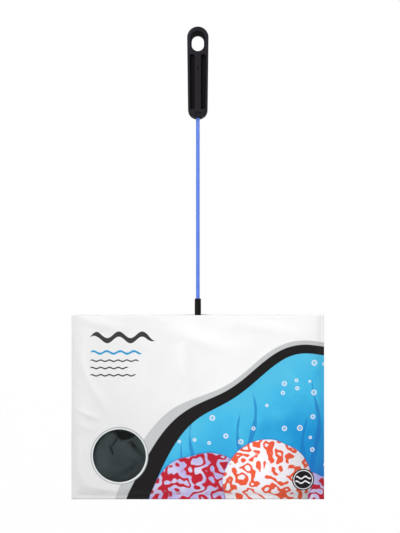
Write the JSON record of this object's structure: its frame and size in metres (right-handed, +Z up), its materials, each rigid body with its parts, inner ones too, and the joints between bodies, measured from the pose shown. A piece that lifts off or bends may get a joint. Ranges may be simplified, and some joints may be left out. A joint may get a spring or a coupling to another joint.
{
  "type": "aquarium fish net",
  "caption": "Fish net with a sewn pocket on a coated wire hoop, a long shaft and a moulded grip, folded flat in a film bag that slides off.",
  "frame": {"origin": "centre of the hang slot's upper arc, halfway through the grip's thickness", "axes": "+X to the right seen from the printed side, +Y to the back, +Z up along the shaft, as the net hangs from its grip"},
  "size_m": [0.2626, 0.014, 0.4899],
  "materials": {
    "grip_plastic": "black moulded plastic with a soft satin sheen",
    "steel_wire": "drawn steel wire",
    "blue_coating": "smooth blue plastic coating",
    "ferrule_plastic": "glossy black sleeve",
    "binding_cloth": "woven dark binding cloth",
    "net_cloth": "fine dark slate netting",
    "printed_film": null,
    "white_film": "plain white film",
    "clear_film": "clear film"
  },
  "bodies": {
    "net": {"grip": "grip_plastic", "shaft_wire": "steel_wire", "shaft_coating": "blue_coating", "ferrule": "ferrule_plastic", "hoop_wire": "steel_wire", "hoop_coating": "blue_coating", "hem": "binding_cloth", "net_rear_panel": "net_cloth", "net_front_panel": "net_cloth", "pocket_seam": "binding_cloth"},
    "bag": {"bag_front": "printed_film", "bag_back": "white_film", "bag_window": "clear_film"}
  },
  "joints": [
    {"name": "bag_slide", "type": "slide", "parent": "net", "child": "bag", "axis": [0, 0, -1], "range_m": [0, 0.205]}
  ]
}
